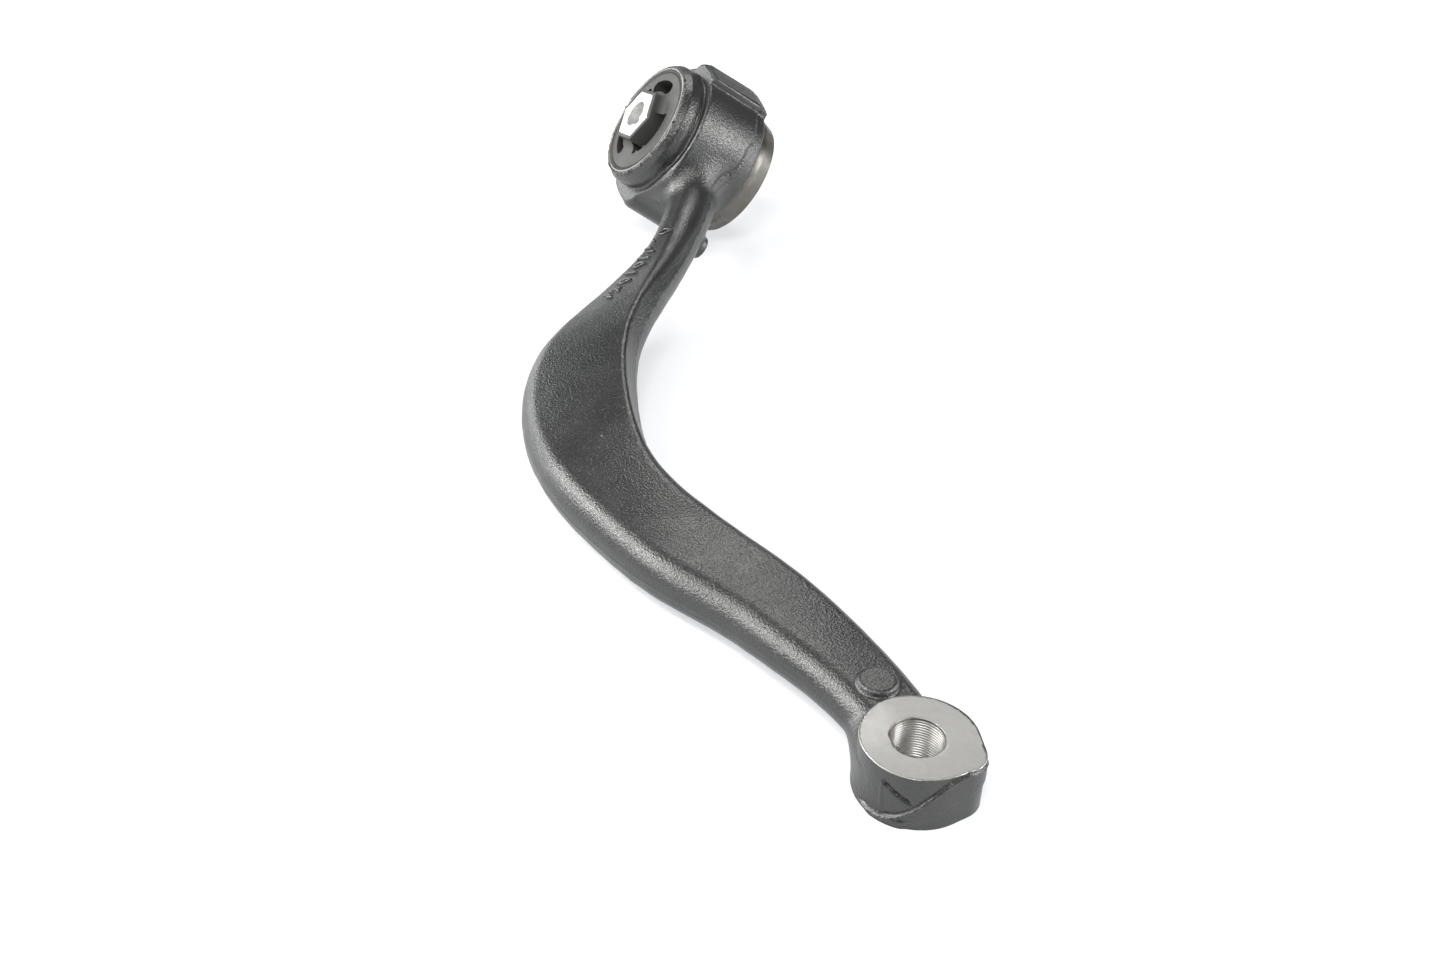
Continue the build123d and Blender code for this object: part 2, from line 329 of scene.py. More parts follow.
def to_bush(p):
    return (p - BUSH_CENTRE) @ np.stack([BUSH_BACK, BUSH_UP, BUSH_AXIS]).T


def turned_rings(rings):
    """Closed skin through rings of equal length, joined end to end."""
    count, around = len(rings), len(rings[0])
    points = np.concatenate(rings)
    faces = []
    for i in range(count):
        j = (i + 1) % count
        for k in range(around):
            m = (k + 1) % around
            faces.append((i * around + k, i * around + m, j * around + m, j * around + k))
    return points, np.array(faces)


def set_materials(obj, materials, chosen=None):
    for m in materials:
        obj.data.materials.append(m)
    if chosen is not None:
        obj.data.polygons.foreach_set("material_index", chosen.astype(np.int32))


def face_data(obj):
    """Centres in millimetres and normals of every face."""
    n = len(obj.data.polygons)
    centres, normals = np.empty(n * 3, np.float32), np.empty(n * 3, np.float32)
    obj.data.polygons.foreach_get("center", centres)
    obj.data.polygons.foreach_get("normal", normals)
    return centres.reshape(-1, 3) / MM, normals.reshape(-1, 3)


# ---------------------------------------------------------------- arm centreline
def natural_cubic(t, values, at):
    h = np.diff(t)
    n = len(t)
    lhs, rhs = np.eye(n), np.zeros((n, values.shape[1]))
    for i in range(1, n - 1):
        lhs[i, i - 1:i + 2] = h[i - 1], 2 * (h[i - 1] + h[i]), h[i]
        rhs[i] = 6 * ((values[i + 1] - values[i]) / h[i] - (values[i] - values[i - 1]) / h[i - 1])
    bend = np.linalg.solve(lhs, rhs)
    k = np.clip(np.searchsorted(t, at) - 1, 0, n - 2)
    b = ((at - t[k]) / h[k])[:, None]
    a = 1 - b
    bow = ((a ** 3 - a) * bend[k] + (b ** 3 - b) * bend[k + 1]) * (h[k] ** 2 / 6)[:, None]
    return a * values[k] + b * values[k + 1] + bow


knots = np.append(0, np.cumsum(np.linalg.norm(np.diff(ARM[:, :3], axis=0), axis=1)))
fine = natural_cubic(knots, ARM, np.linspace(0, knots[-1], 2000))
run = np.append(0, np.cumsum(np.linalg.norm(np.diff(fine[:, :3], axis=0), axis=1)))
STEP = 1.0
ARM_S = np.arange(0, run[-1], STEP)
arm = np.stack([np.interp(ARM_S, run, fine[:, k]) for k in range(6)], 1)
ARM_C = arm[:, :3]
ARM_T = np.gradient(ARM_C, axis=0)
ARM_T /= -np.linalg.norm(ARM_T, axis=1, keepdims=True)    # towards the bush
up = np.array([0, 0, 1.0]) - ARM_T * ARM_T[:, 2:]
up /= np.linalg.norm(up, axis=1, keepdims=True)
side = np.cross(ARM_T, up)
turn = np.radians(arm[:, 5:])
ARM_A = side * np.cos(turn) + up * np.sin(turn)
ARM_N = up * np.cos(turn) - side * np.sin(turn)
ARM_TABLE = np.hstack([ARM_C, ARM_T, ARM_A, ARM_N, arm[:, 3:5] / 2])


def arm_place(p):
    """Distance along the arm from the barrel, and the offsets across and through it."""
    s = np.interp(p[:, 1], ARM_C[::-1, 1], ARM_S[::-1])
    last = ARM_S[-1]
    for _ in range(5):
        s = np.clip(s, 0, last - 1e-6)
        k = (s / STEP).astype(int)
        k = np.minimum(k, len(ARM_S) - 2)
        f = (s / STEP - k)[:, None]
        row = ARM_TABLE[k] * (1 - f) + ARM_TABLE[k + 1] * f
        away = p - row[:, :3]
        slip = (away * row[:, 3:6]).sum(1)
        s = s - slip * 0.9
    over = np.maximum(np.maximum(-s, s - last), 0)
    u = (away * row[:, 6:9]).sum(1)
    v = (away * row[:, 9:12]).sum(1)
    return np.clip(s, 0, last), u, v, row[:, 12], row[:, 13], over


def arm_point(s, u, v):
    s = np.atleast_1d(s)
    row = np.stack([np.interp(s, ARM_S, ARM_TABLE[:, k]) for k in range(12)], 1)
    return row[:, :3] + row[:, 6:9] * np.atleast_1d(u)[:, None] + row[:, 9:12] * np.atleast_1d(v)[:, None]


SHOULDER_R, UNDER_R = 10.0, 7.5                  # top outer and lower corners
INNER_AT, INNER_R = [40, 85, 130, 235, 300], [10.0, 6.0, 2.2, 2.2, 6.0]    # top inner, along the arm
DRAFT = np.tan(np.radians(7))
PARTING_V = -1.0
CROWN = 1.0


def arm_field(place):
    """Drafted bar: widest on its parting line, leaning in above and below it."""
    s, u, v, half_w, half_t, over = place
    inner = np.interp(s, INNER_AT, INNER_R)
    corner = np.where(v < 0, UNDER_R, np.where(u < 0, SHOULDER_R, inner))
    corner = np.minimum(corner, half_t * 0.92)
    lean = DRAFT * np.abs(v - PARTING_V)
    crown = CROWN * (u / half_w) ** 2 * step(s, 70, 150) * np.clip(v / half_t, 0, 1)
    d = box2(np.abs(u) + lean, v + crown, half_w, half_t, corner) * 0.993
    ridge = np.exp(-((v - PARTING_V) / 0.7) ** 2) * step(np.abs(u) / half_w, 0.8, 0.95)
    d = d - 0.10 * ridge
    return np.hypot(np.maximum(d, 0), over) + np.minimum(d, 0)


# ---------------------------------------------------------------- forging
def lobe(back, high, off, spec):
    shift, reach, width, (near, far) = spec
    sign = np.sign(reach)
    corner = np.where(back > shift, near, far)
    block = box2(back - shift, high - sign * abs(reach) / 2, width / 2, abs(reach) / 2, corner)
    radius = np.hypot(back, high)
    lowest = LOBE_TAPER_R if reach < 0 else LOBE_LIMIT_R
    taper = np.interp(off, [-BARREL_HALF, PARTING_AT], [lowest, LOBE_LIMIT_R])
    return round_common(block, radius - taper, LOBE_EDGE)


def above_parting(place, back, high, off):
    """Height above the barrel's parting step, which runs off along the neck's sides."""
    s, _, v = place[:3]
    angle = np.degrees(np.arctan2(high, back))
    dip = 2.5 * step(angle, 33, 56) * (1 - step(angle, 95, 130))
    on_barrel = off - PARTING_AT + dip
    on_neck = v - np.interp(s, [5, 35], [3.2, PARTING_V])
    return on_barrel + (on_neck - on_barrel) * step(back, 34.5, 42)


def barrel_field(p, place):
    back, high, off = to_bush(p).T
    radius = np.hypot(back, high)
    draft = BARREL_DRAFT * np.abs(off - PARTING_AT)
    outline = radius - BARREL_R + draft
    for spec, foot in ((TOP_LOBE, TOP_LOBE_FOOT), (LOW_LOBE, LOW_LOBE_FOOT)):
        block = lobe(back, high, off, spec) + (draft if spec[1] > 0 else 0)
        outline = round_union(outline, block, foot)
    above = above_parting(place, back, high, off)
    outline = outline + PARTING_STEP * (1 - step(above, -0.25, 0.25))
    outline = outline + PARTING_GROOVE * bell(above + 0.7, 0.5)
    edge = 1.5 + 3.0 * step(radius, 42, 45)
    body = round_common(outline, np.abs(off) - BARREL_HALF, edge)
    collar = polygon2(radius, off, list(COLLAR)) - COLLAR_ROUND
    return round_union(body, collar, 1.0)


def flash_lines(angle):
    """Heights above the eye's underside of the trimmed parting band's upper and lower edges."""
    upper = np.interp(angle, [-180, -150, -135, -120, -108, -93, -78, -57, -30, 0],
                      [1.6, 2.0, 2.5, 5.0, 9.0, 15.0, 20.0, 23.0, 21.0, 19.0])
    lower = np.interp(angle, [-180, -120, -100, -78, -60, -43, -20, 0],
                      [0.6, 1.0, 3.5, 8.5, 12.0, 13.0, 15.0, 16.5])
    return upper, lower


def eye_relief(p):
    """How far the forged skin stands out of the plain eye."""
    angle = np.degrees(np.arctan2(p[:, 1], p[:, 0]))
    high = p[:, 2] + EYE_HALF
    upper, lower = flash_lines(angle)
    band = step(high, lower - 0.4, lower + 0.4) * (1 - step(high, upper - 0.35, upper + 0.35))
    front = step(angle, -166, -154) * (1 - step(angle, 5, 25))
    out = 0.55 * band * front
    # a raised line along the band's upper edge, with a groove above it
    out += (0.35 * bell(high - upper, 0.5) - 0.5 * bell(high - upper - 0.95, 0.5)) * front
    # an upright flash line, which leans
    lean = -136.5 - 3 * step(high, 2, 18)
    out += 0.5 * bell(angle - lean, 1.6) * step(high, 1.5, 3) * (1 - step(high, 18, 19.5))
    # a slanting notch, a ledge at the foot, the waist on the arm's side and the facing burr
    along = np.clip((angle + 139) / 30, 0, 1)
    notch = bell(high - (18.5 - 6.3 * along), 0.75)
    notch *= step(angle, -141, -137) * (1 - step(angle, -114, -107))
    ledge = step(angle, -155, -145) * (1 - step(angle, -118, -110)) * (1 - step(high, 3.0, 4.6))
    around = (angle + 180 + 180) % 360 - 180
    waist = bell(around, 28) * bell(high - 9, 8)
    burr = 0.12 * step(high, 23.2, 23.9)
    return out - 1.3 * notch + 0.7 * ledge - 1.3 * waist + burr


def eye_field(p):
    x, y, z = p.T
    t = np.clip((z + EYE_HALF) / (2 * EYE_HALF), 0, 1)
    ends = [np.hstack([c, r, k, q]) for c, r, k, q in (EYE_FOOT, EYE_TOP)]
    mix = ends[0][None] * (1 - t[:, None]) + ends[1][None] * t[:, None]
    outline = egg2(x, y, (mix[:, 0], mix[:, 1]), mix[:, 2], (mix[:, 3], mix[:, 4]), mix[:, 5])
    return np.maximum(outline - eye_relief(p), np.abs(z) - EYE_HALF)


def forging_field(p):
    x, y, z = p.T
    place = arm_place(p)
    d = arm_field(place)
    back, high, _ = to_bush(p).T
    near_bush = y > 340
    if near_bush.any():
        q = p[near_bush]
        here = [k[near_bush] for k in place]
        saddle = 9.0 + 5.0 * step(here[2], -3, 9)
        d[near_bush] = round_union(d[near_bush], barrel_field(q, here), saddle)
        reach = (q - NECK_PAD) @ -BUSH_AXIS
        aside = np.linalg.norm(q - NECK_PAD + reach[:, None] * BUSH_AXIS, axis=1)
        pad = box2(aside, reach - NECK_PAD_REACH / 2, NECK_PAD_R, NECK_PAD_REACH / 2, 1.0)
        d[near_bush] = round_union(d[near_bush], pad, 1.5)
    near_eye = y < 80
    if near_eye.any():
        q = p[near_eye]
        fillet = 1.5 + 9.0 * (1 - step(q[:, 2], 2, 10))
        part = round_union(d[near_eye], eye_field(q), fillet)
        aside = np.hypot(q[:, 0] - TOP_PAD[0], q[:, 1] - TOP_PAD[1])
        pad = box2(aside, q[:, 2] - TOP_PAD_TOP / 2, TOP_PAD_R, TOP_PAD_TOP / 2, 2.0)
        part = round_union(part, pad, 1.2)
        face = egg2(q[:, 0], q[:, 1], *EYE_TOP) - 0.15
        d[near_eye] = np.maximum(part, np.minimum(q[:, 2] - EYE_HALF, -face))
    nick = np.linalg.norm((p - NICK) / NICK_SIZE, axis=1) - 1
    d = d + NICK_DEPTH * np.clip(-nick, 0, 1)
    skin = SKIN_DEPTH * ripple(p, SKIN_SIZE, SKIN_SEED)
    machined = (y < 40) & (np.abs(z) > EYE_HALF - 0.6)
    d = d - np.where(machined, 0, skin)
    d = np.maximum(d, -EYE_HALF - z)
    bore = STUD_R + np.clip(np.abs(z) - (EYE_HALF - BORE_CHAMFER), 0, 2 * BORE_CHAMFER)
    d = np.maximum(d, np.where(y < 40, bore - np.hypot(x, y), -1e3))
    return np.maximum(d, np.where(y > 400, SEAT_R - np.hypot(back, high), -1e3))


# Runs of start, end and step along x, y and z, finer round the eye and the barrel.
grid = [
    spaced((-128, -30, 1.4), (-30, 30, 0.9), (30, 52, 1.15)),
    spaced((-29, 30, 0.7), (30, 62, 1.1), (62, 360, 2.3), (360, 506, 1.15)),
    spaced((-14, 14, 0.75), (14, 86, 1.2)),
]
points, quads = contour(grid, forging_field)
normals = slopes(forging_field, points)


# ---------------------------------------------------------------- raised forging marks
def on_top(s, u):
    """Points of the arm's upper face, and the way out of it."""
    row = np.stack([np.interp(s, ARM_S, ARM_TABLE[:, k]) for k in range(14)], 1)
    out = row[:, 9:12]
    found = arm_point(s, u, row[:, 13])
    for _ in range(3):
        found = found - out * forging_field(found)[:, None]
    return found, out


STROKE_SPACING, STROKE_TIP, STROKE_TIP_WIDTH = 0.7, 0.45, 0.45
STROKE_PROFILE = ((-1.05, -0.5), (-0.65, 0.72), (-0.25, 0.9), (0.25, 0.9), (0.65, 0.72), (1.05, -0.5))
MARK_LONG, MARK_WIDE = 1.15, 1.3                     # stretch of the marks along and across the arm


def raised_stroke(path):
    """A low ridge with bevelled sides along a path of (along, across) points."""
    path = np.array(path, float)
    run = np.append(0, np.cumsum(np.hypot(*np.diff(path, axis=0).T)))
    at = np.linspace(0, run[-1], max(3, int(run[-1] / STROKE_SPACING) + 1))
    line = np.stack([np.interp(at, run, path[:, k]) for k in range(2)], 1)
    ahead = np.gradient(line, axis=0)
    ahead /= np.linalg.norm(ahead, axis=1, keepdims=True)
    line = np.vstack([line[0] - ahead[0] * STROKE_TIP, line, line[-1] + ahead[-1] * STROKE_TIP])
    ahead = np.vstack([ahead[:1], ahead, ahead[-1:]])
    full = np.ones(len(line))
    full[[0, -1]] = 0.0
    aside = np.stack([-ahead[:, 1], ahead[:, 0]], 1)
    rings = []
    for across, high in STROKE_PROFILE:
        spot = line + aside * (across * (STROKE_TIP_WIDTH + 0.55 * full))[:, None]
        foot, out = on_top(spot[:, 0], spot[:, 1])
        rings.append(foot + out * np.where(full > 0, high, min(high, -0.25))[:, None])
    ring_points = np.stack(rings, 1)
    count = len(line)
    base = np.arange(6)
    faces = [np.stack([i * 6 + base, i * 6 + 6 + base, i * 6 + 6 + (base + 1) % 6, i * 6 + (base + 1) % 6], 1)
             for i in range(count - 1)]
    last = (count - 1) * 6
    caps = np.array([[0, 1, 4, 5], [1, 2, 3, 4], [last, last + 5, last + 4, last + 1],
                     [last + 1, last + 4, last + 3, last + 2]])
    return ring_points.reshape(-1, 3), np.vstack(faces + [caps])


DIAMOND = [[(0, -3.6), (2.2, 0), (0, 3.6), (-2.2, 0), (0, -3.6)]]
BAR = [[(-0.9, -3.4), (0.9, 3.4)]]
STAIR = [[(-2.3, -3.4), (-1.4, 0.4), (1.6, -0.4), (2.4, 3.2)]]
TICKS = [[(-1.6, -2.8), (-0.8, 0.6)], [(0.9, -0.6), (1.7, 2.8)]]
CROSS = [[(-2.4, -2.6), (2.4, 2.6)], [(-1.6, 1.9), (0.2, 0.2)], [(0.4, -3.2), (1.8, -1.2)]]
DASH = [[(-1.4, -0.8), (1.0, 0.8)]]
# Distance along the arm from the barrel, offset across it, and the mark. None of them is a letter.
MARKS = [
    (59.0, 0.6, DIAMOND), (66.5, -3.2, DASH), (76.0, -1.6, STAIR), (84.5, -1.2, BAR), (91.5, -0.8, DIAMOND),
    (99.5, -1.0, BAR), (108.0, -0.4, DIAMOND), (116.5, -0.2, CROSS), (123.0, -1.4, TICKS),
]
for along, across, strokes in MARKS:
    for stroke in strokes:
        path = [(along + MARK_LONG * a, across + MARK_WIDE * b) for a, b in stroke]
        extra, extra_quads = raised_stroke(path)
        quads = np.vstack([quads, extra_quads + len(points)])
        points = np.vstack([points, extra])
normals = np.vstack([normals, np.zeros((len(points) - len(normals), 3))])
forging = make_mesh("arm_forging_skin", points, quads)


def smooth_normals(obj, wanted, within=0.985):
    """Shade by the shape's own slope wherever the mesh already agrees with it."""
    mesh = obj.data
    found = np.empty(len(mesh.vertices) * 3, np.float32)
    mesh.vertices.foreach_get("normal", found)
    close = (found.reshape(-1, 3) * wanted).sum(1) > within
    mesh.normals_split_custom_set_from_vertices(np.where(close[:, None], wanted, 0.0).tolist())


smooth_normals(forging, normals)


# ---------------------------------------------------------------- materials
FULL_TURN = 6.2832


class Nodes:
    """A node material, built line by line."""

    def __init__(self, name):
        self.material = bpy.data.materials.new(name)
        self.material.use_nodes = True
        self.tree = self.material.node_tree
        self.shader = self.tree.nodes["Principled BSDF"]
        self.place = self.add("ShaderNodeTexCoord").outputs["Object"]

    def add(self, kind, **settings):
        node = self.tree.nodes.new(kind)
        for key, value in settings.items():
            setattr(node, key, value)
        return node

    def link(self, out, into):
        self.tree.links.new(out, into)

    def put(self, socket, value):
        if isinstance(value, bpy.types.NodeSocket):
            self.link(value, socket)
        else:
            socket.default_value = value

    def noise(self, scale, detail=3.0, rough=0.5, place=None):
        node = self.add("ShaderNodeTexNoise")
        self.link(place or self.place, node.inputs["Vector"])
        node.inputs["Scale"].default_value = scale
        node.inputs["Detail"].default_value = detail
        node.inputs["Roughness"].default_value = rough
        return node.outputs["Fac"]

    def cells(self, scale, feature="F1"):
        node = self.add("ShaderNodeTexVoronoi", feature=feature)
        self.link(self.place, node.inputs["Vector"])
        node.inputs["Scale"].default_value = scale
        return node.outputs["Distance"]

    def ramp(self, value, low, high, start=0.0, end=1.0):
        node = self.add("ShaderNodeMapRange", interpolation_type="SMOOTHSTEP")
        self.link(value, node.inputs["Value"])
        node.inputs["From Min"].default_value = low
        node.inputs["From Max"].default_value = high
        node.inputs["To Min"].default_value = start
        node.inputs["To Max"].default_value = end
        return node.outputs["Result"]

    def math(self, operation, a, b=0.0):
        node = self.add("ShaderNodeMath", operation=operation)
        self.put(node.inputs[0], a)
        self.put(node.inputs[1], b)
        return node.outputs[0]

    def mix(self, factor, a, b):
        node = self.add("ShaderNodeMix", data_type="RGBA")
        self.put(node.inputs["Factor"], factor)
        self.put(node.inputs[6], (*a, 1) if isinstance(a, tuple) else a)
        self.put(node.inputs[7], (*b, 1) if isinstance(b, tuple) else b)
        return node.outputs[2]

    def bump(self, height, depth, strength=1.0, after=None):
        node = self.add("ShaderNodeBump")
        self.link(height, node.inputs["Height"])
        node.inputs["Distance"].default_value = depth
        node.inputs["Strength"].default_value = strength
        if after is not None:
            self.link(after, node.inputs["Normal"])
        return node.outputs["Normal"]

    def finish(self, **inputs):
        for key, value in inputs.items():
            self.put(self.shader.inputs[key.replace("_", " ")], value)
        return self.material

    def rings(self, centre, axis, pitch):
        """A wave in circles about an axis, for turned and faced metal."""
        offset = self.add("ShaderNodeVectorMath", operation="SUBTRACT")
        self.link(self.place, offset.inputs[0])
        offset.inputs[1].default_value = centre
        out = self.add("ShaderNodeVectorMath", operation="CROSS_PRODUCT")
        self.link(offset.outputs[0], out.inputs[0])
        out.inputs[1].default_value = axis
        size = self.add("ShaderNodeVectorMath", operation="LENGTH")
        self.link(out.outputs[0], size.inputs[0])
        return self.math("SINE", self.math("MULTIPLY", size.outputs["Value"], FULL_TURN / pitch))

    def turns(self, centre, axis, pitch):
        """A wave along an axis, for a turned wall."""
        offset = self.add("ShaderNodeVectorMath", operation="SUBTRACT")
        self.link(self.place, offset.inputs[0])
        offset.inputs[1].default_value = centre
        along = self.add("ShaderNodeVectorMath", operation="DOT_PRODUCT")
        self.link(offset.outputs[0], along.inputs[0])
        along.inputs[1].default_value = axis
        return self.math("SINE", self.math("MULTIPLY", along.outputs["Value"], FULL_TURN / pitch))


stud_place = tuple(mounts["stud_bore"]["pos_m"])
bush_place = tuple(BUSH_CENTRE * MM)
bush_axis = tuple(BUSH_AXIS)


def ecoat():
    """Black dip coat over a blasted forging."""
    n = Nodes("ecoat_black")
    grain = n.noise(950, 2.0, 0.55)
    peel = n.noise(260, 2.0, 0.5)
    patches = n.noise(28, 3.0, 0.55)
    dust = n.ramp(n.cells(170), 0.05, 0.09, 1.0, 0.0)
    rare = n.ramp(n.noise(55, 1.0), 0.66, 0.70)
    colour = n.mix(patches, (0.007, 0.0075, 0.0075), (0.013, 0.0135, 0.013))
    colour = n.mix(n.math("MULTIPLY", dust, rare), colour, (0.22, 0.22, 0.21))
    rough = n.ramp(patches, 0.3, 0.7, 0.29, 0.37)
    normal = n.bump(peel, 0.00022, 0.5)
    normal = n.bump(grain, 0.00032, 1.0, normal)
    return n.finish(Base_Color=colour, Roughness=rough, Normal=normal, IOR=1.72)


def faced_steel():
    """Milled face of the eye."""
    n = Nodes("steel_faced")
    arcs = n.rings(stud_place, (0, 0, 1), 0.00045)
    mottle = n.noise(60, 4.0, 0.6)
    nicks = n.ramp(n.cells(240), 0.03, 0.06, 1.0, 0.0)
    nicks = n.math("MULTIPLY", nicks, n.ramp(n.noise(70, 1.0), 0.60, 0.66))
    fine = n.noise(1500, 2.0)
    colour = n.mix(n.ramp(mottle, 0.3, 0.7), (0.24, 0.24, 0.233), (0.36, 0.358, 0.348))
    colour = n.mix(nicks, colour, (0.62, 0.62, 0.60))
    rough = n.ramp(mottle, 0.3, 0.7, 0.33, 0.5)
    normal = n.bump(arcs, 0.00002, 0.35)
    normal = n.bump(fine, 0.00005, 0.4, normal)
    return n.finish(Base_Color=colour, Metallic=1.0, Roughness=rough, Normal=normal)


def bored_steel():
    """Turned wall of the stud bore."""
    n = Nodes("steel_bored")
    grooves = n.turns(stud_place, (0, 0, 1), 0.0013)
    streak = n.noise(90, 4.0)
    colour = n.mix(streak, (0.32, 0.31, 0.29), (0.50, 0.49, 0.47))
    normal = n.bump(grooves, 0.0003, 1.0)
    rough = n.ramp(streak, 0.3, 0.7, 0.28, 0.42)
    return n.finish(Base_Color=colour, Metallic=1.0, Roughness=rough, Normal=normal)


def stained_steel():
    """Bare turned steel of the sleeve, with brown oil stains."""
    n = Nodes("steel_sleeve")
    stains = n.ramp(n.noise(46, 5.0, 0.62), 0.44, 0.62)
    streak = n.noise(140, 3.0)
    colour = n.mix(streak, (0.125, 0.12, 0.108), (0.175, 0.17, 0.155))
    colour = n.mix(n.math("MULTIPLY", stains, 0.7), colour, (0.075, 0.058, 0.042))
    normal = n.bump(n.turns(bush_place, bush_axis, 0.0006), 0.00003, 0.5)
    rough = n.ramp(stains, 0.0, 1.0, 0.34, 0.52)
    metal = n.ramp(stains, 0, 1, 1.0, 0.6)
    return n.finish(Base_Color=colour, Metallic=metal, Roughness=rough, Normal=normal)


def moulded_rubber():
    n = Nodes("rubber_black")
    grain = n.noise(900, 3.0)
    bloom = n.noise(45, 3.0)
    colour = n.mix(bloom, (0.036, 0.0365, 0.034), (0.056, 0.056, 0.053))
    rough = n.ramp(bloom, 0.3, 0.7, 0.52, 0.7)
    normal = n.bump(grain, 0.0001, 0.5)
    return n.finish(Base_Color=colour, Roughness=rough, Normal=normal, Specular_IOR_Level=0.45)


def bright_alloy():
    """Drawn core, bright on its sawn and faced ends."""
    n = Nodes("core_bright")
    faced = n.rings(bush_place, bush_axis, 0.0005)
    cloud = n.noise(120, 4.0)
    colour = n.mix(cloud, (0.72, 0.72, 0.71), (0.86, 0.86, 0.85))
    rough = n.ramp(cloud, 0.3, 0.7, 0.32, 0.46)
    return n.finish(Base_Color=colour, Metallic=1.0, Roughness=rough, Normal=n.bump(faced, 0.00002, 0.4))


def cage_steel():
    n = Nodes("steel_cage")
    cloud = n.noise(80, 4.0)
    colour = n.mix(cloud, (0.24, 0.24, 0.25), (0.36, 0.36, 0.37))
    return n.finish(Base_Color=colour, Metallic=1.0, Roughness=n.ramp(cloud, 0.3, 0.7, 0.35, 0.5))


def track_plastic():
    n = Nodes("plastic_track")
    cloud = n.noise(200, 3.0)
    colour = n.mix(cloud, (0.045, 0.045, 0.05), (0.075, 0.075, 0.08))
    rough = n.ramp(cloud, 0.3, 0.7, 0.4, 0.55)
    normal = n.bump(cloud, 0.0001, 0.3)
    return n.finish(Base_Color=colour, Roughness=rough, Normal=normal)


def glycol():
    n = Nodes("fluid_glycol")
    cloud = n.noise(60, 2.0)
    colour = n.mix(cloud, (0.35, 0.42, 0.20), (0.42, 0.50, 0.26))
    return n.finish(Base_Color=colour, Roughness=n.ramp(cloud, 0.3, 0.7, 0.05, 0.1), IOR=1.43)


ECOAT, FACED, BORED = ecoat(), faced_steel(), bored_steel()
STAINED, RUBBER, ALLOY = stained_steel(), moulded_rubber(), bright_alloy()

centres, facing = face_data(forging)
radius = np.hypot(centres[:, 0], centres[:, 1])
outline = egg2(centres[:, 0], centres[:, 1], *EYE_TOP)
flat = (np.abs(np.abs(centres[:, 2]) - EYE_HALF) < 0.03) & (np.abs(facing[:, 2]) > 0.9) & (outline < 2.5)
which = np.zeros(len(centres))                       # index into the list of materials below
which[flat] = 1
which[(radius < STUD_R + BORE_CHAMFER + 0.3) & ~flat] = 2
set_materials(forging, [ECOAT, FACED, BORED], which)
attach(forging, "arm")
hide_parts("arm_forging")

# ---------------------------------------------------------------- outer sleeve
SLEEVE = [                                           # radius and height of each ring, all the way round
    (31.5, 32.6), (31.5, -32.6), (31.8, -33.0), (33.6, -33.0), (34.1, -32.6), (35.9, -26.2),
    (36.0, -25.6), (36.0, -21.2), (35.6, -20.4), (35.0, -20.05), (33.0, -20.05), (33.0, 32.6), (32.7, 33.0),
    (31.8, 33.0),
]
AROUND = 192
spin = np.linspace(0, 2 * np.pi, AROUND, endpoint=False)
rings = [from_bush(np.stack([r * np.cos(spin), r * np.sin(spin), np.full(AROUND, h)], 1)) for r, h in SLEEVE]
points, quads = turned_rings(rings)
sleeve = make_mesh("bush_sleeve_turned", points, quads[:, ::-1], sharp=30)
set_materials(sleeve, [STAINED])
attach(sleeve, "arm")
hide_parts("bush_outer_sleeve")

# ---------------------------------------------------------------- inner core
flat_turn = np.radians(60)
CORE_CORNER = 0.15                                   # cut off each corner of the hexagon
corners = [np.radians(30 + 60 * k) for k in range(6)]
keys = [np.arctan2(KEYWAY_HALF, KEYWAY_REACH), np.arcsin(KEYWAY_HALF / BOLT_R)]
angles = set(np.round(np.linspace(0, 2 * np.pi, 180, endpoint=False), 6))
angles |= {round(float(a) % (2 * np.pi), 6) for k in keys for a in (k, -k)}
angles |= {round(float(c) % (2 * np.pi), 6) for c in corners}
angles = np.array(sorted(angles))


def hex_radius(flats):
    """Radius of a hexagon with slightly rounded corners, by angle."""
    t = (angles + flat_turn / 2) % flat_turn - flat_turn / 2
    return np.minimum(flats / 2 / np.cos(t), (flats / 2 / np.cos(np.radians(30))) - CORE_CORNER)


def bore_radius(grow):
    """Radius of the bolt hole and its keyway, by angle."""
    t = np.abs((angles + np.pi) % (2 * np.pi) - np.pi)
    wall = np.where(np.sin(t) > 1e-9, (KEYWAY_HALF + grow) / np.maximum(np.sin(t), 1e-9), 1e9)
    slot = np.minimum(wall, (KEYWAY_REACH + grow) / np.maximum(np.cos(t), 1e-9))
    return np.where(t < np.pi / 3, np.maximum(slot, BOLT_R + grow), BOLT_R + grow)


def core_ring(radius, off):
    spin = angles + np.radians(CORE_TURN)
    return from_bush(np.stack([radius * np.cos(spin), radius * np.sin(spin), np.full(len(spin), off)], 1))


rings = []
for sign in (1, -1):
    end = sign * CORE_HALF
    half = [
        core_ring(bore_radius(0.0), end - sign * 0.5),
        core_ring(bore_radius(0.12), end - sign * 0.12),
        core_ring(bore_radius(0.4), end),
        core_ring(hex_radius(CORE_FLATS - 1.2), end),
        core_ring(hex_radius(CORE_FLATS - 0.3), end - sign * 0.25),
        core_ring(hex_radius(CORE_FLATS), end - sign * 0.7),
    ]
    rings += half if sign == 1 else half[::-1]
points, quads = turned_rings(rings)
core = make_mesh("bush_core_hexagon", points, quads, sharp=25)
set_materials(core, [ALLOY])
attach(core, "core")
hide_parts("bush_inner_core")

# ---------------------------------------------------------------- rubber spring
def hex2(x, y, flats):
    """Distance to a hexagon turned as the core is."""
    best = np.full(x.shape, -1e9)
    for k in range(6):
        a = np.radians(60 * k + CORE_TURN)
        best = np.maximum(best, x * np.cos(a) + y * np.sin(a) - flats / 2)
    return best


